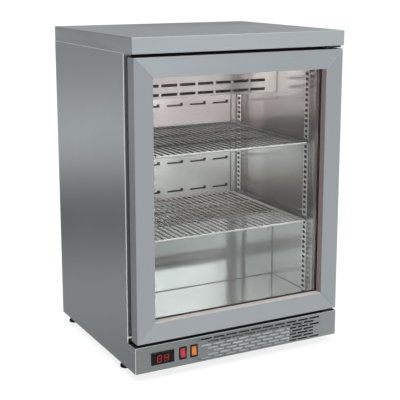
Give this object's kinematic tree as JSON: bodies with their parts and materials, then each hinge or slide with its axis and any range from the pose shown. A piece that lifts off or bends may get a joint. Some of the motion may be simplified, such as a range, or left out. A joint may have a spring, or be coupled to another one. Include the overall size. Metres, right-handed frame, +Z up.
{
  "type": "bar fridge",
  "caption": "Under-counter stainless bar fridge with a hinged glass door, wire shelves on slotted uprights, lit rocker switches and a slotted kick grille.",
  "frame": {"origin": "on the floor, under the centre of the cabinet's outline", "axes": "+Z up, -Y out of the door, +X to the right seen from the front (the hinge side)"},
  "size_m": [0.6, 0.52, 0.85],
  "materials": {
    "brushed_stainless": "satin",
    "liner_steel": "polished",
    "galvanised_sheet": "satin",
    "bright_wire": "polished",
    "board": "matte",
    "foam": "matte",
    "black_plastic": "satin",
    "grey_plastic": "satin",
    "white_plastic": "satin",
    "spacer_black": "matte",
    "gasket_rubber": "matte",
    "black_steel": "satin",
    "clear_glass": "polished",
    "lamp_glass": "gloss",
    "dark_window": "gloss",
    "red_lens": "gloss",
    "orange_lens": "gloss",
    "fins": "satin",
    "copper": "satin"
  },
  "bodies": {
    "cabinet": {"worktop": "brushed_stainless", "left_side_panel": "brushed_stainless", "right_side_panel": "brushed_stainless", "kick_panel": "brushed_stainless", "worktop_core": "board", "roof_panel": "black_steel", "underside_panel": "black_steel", "base_pan": "galvanised_sheet", "back_panel": "galvanised_sheet", "condenser_shroud": "galvanised_sheet", "cable_gland": "black_plastic", "breaker_strips": "grey_plastic", "insulation_foam": "foam", "liner_left_wall": "liner_steel", "liner_right_wall": "liner_steel", "liner_ceiling": "liner_steel", "liner_back_wall": "liner_steel", "liner_floor": "liner_steel", "liner_step": "liner_steel", "air_panel": "liner_steel", "evaporator_cover": "liner_steel", "pilasters": "liner_steel", "shelf_rails": "liner_steel", "lamp_holder": "white_plastic", "lamp_tube": "lamp_glass", "panel_screws": "bright_wire", "thermostat_body": "black_plastic", "display_window": "dark_window", "switch_housings": "black_plastic", "top_hinge_bracket": "black_steel", "bottom_hinge_bracket": "black_steel", "hinge_pins": "bright_wire", "compressor": "black_steel", "compressor_mounts": "gasket_rubber", "condenser_coil": "fins", "evaporator_coil": "fins", "condenser_fan_motor": "black_steel", "evaporator_fan_motor": "black_steel", "filter_drier": "copper", "refrigerant_tubes": "copper"},
    "door": {"door_left_stile": "brushed_stainless", "door_right_stile": "brushed_stainless", "door_top_rail": "brushed_stainless", "door_bottom_rail": "brushed_stainless", "outer_glass": "clear_glass", "inner_glass": "clear_glass", "glass_spacer": "spacer_black", "glazing_bead": "grey_plastic", "door_gasket": "gasket_rubber", "hinge_bushes": "black_plastic"},
    "upper_shelf": {"upper_shelf": "bright_wire"},
    "lower_shelf": {"lower_shelf": "bright_wire"},
    "mains_rocker": {"mains_rocker": "red_lens"},
    "lamp_rocker": {"lamp_rocker": "orange_lens"},
    "condenser_fan": {"condenser_fan_blade": "fins"},
    "evaporator_fan": {"evaporator_fan_blade": "black_plastic"},
    "foot_front_left": {"levelling_foot_front_left": "black_plastic"},
    "foot_front_right": {"levelling_foot_front_right": "black_plastic"},
    "foot_rear_left": {"levelling_foot_rear_left": "black_plastic"},
    "foot_rear_right": {"levelling_foot_rear_right": "black_plastic"}
  },
  "joints": [
    {"name": "door_hinge", "type": "hinge", "parent": "cabinet", "child": "door", "pos_m": [0.278, -0.243, 0.45], "axis": [0, 0, 1], "range_deg": [0, 110]},
    {"name": "upper_shelf_lift", "type": "slide", "parent": "cabinet", "child": "upper_shelf", "axis": [0, 0, 1], "range_m": [0, 0.04]},
    {"name": "lower_shelf_lift", "type": "slide", "parent": "cabinet", "child": "lower_shelf", "axis": [0, 0, 1], "range_m": [0, 0.04]},
    {"name": "mains_rocker_tilt", "type": "hinge", "parent": "cabinet", "child": "mains_rocker", "pos_m": [-0.169, -0.252, 0.0555], "axis": [1, 0, 0], "range_deg": [0, 14]},
    {"name": "lamp_rocker_tilt", "type": "hinge", "parent": "cabinet", "child": "lamp_rocker", "pos_m": [-0.1375, -0.252, 0.0555], "axis": [1, 0, 0], "range_deg": [0, 14]},
    {"name": "condenser_fan_spin", "type": "hinge", "parent": "cabinet", "child": "condenser_fan", "pos_m": [-0.14, 0.118, 0.148], "axis": [0, 1, 0], "continuous": true},
    {"name": "evaporator_fan_spin", "type": "hinge", "parent": "cabinet", "child": "evaporator_fan", "pos_m": [0.15, 0.049, 0.718], "axis": [0, 1, 0], "continuous": true},
    {"name": "foot_front_left_screw", "type": "slide", "parent": "cabinet", "child": "foot_front_left", "axis": [0, 0, -1], "range_m": [0, 0.015]},
    {"name": "foot_front_right_screw", "type": "slide", "parent": "cabinet", "child": "foot_front_right", "axis": [0, 0, -1], "range_m": [0, 0.015]},
    {"name": "foot_rear_left_screw", "type": "slide", "parent": "cabinet", "child": "foot_rear_left", "axis": [0, 0, -1], "range_m": [0, 0.015]},
    {"name": "foot_rear_right_screw", "type": "slide", "parent": "cabinet", "child": "foot_rear_right", "axis": [0, 0, -1], "range_m": [0, 0.015]}
  ]
}
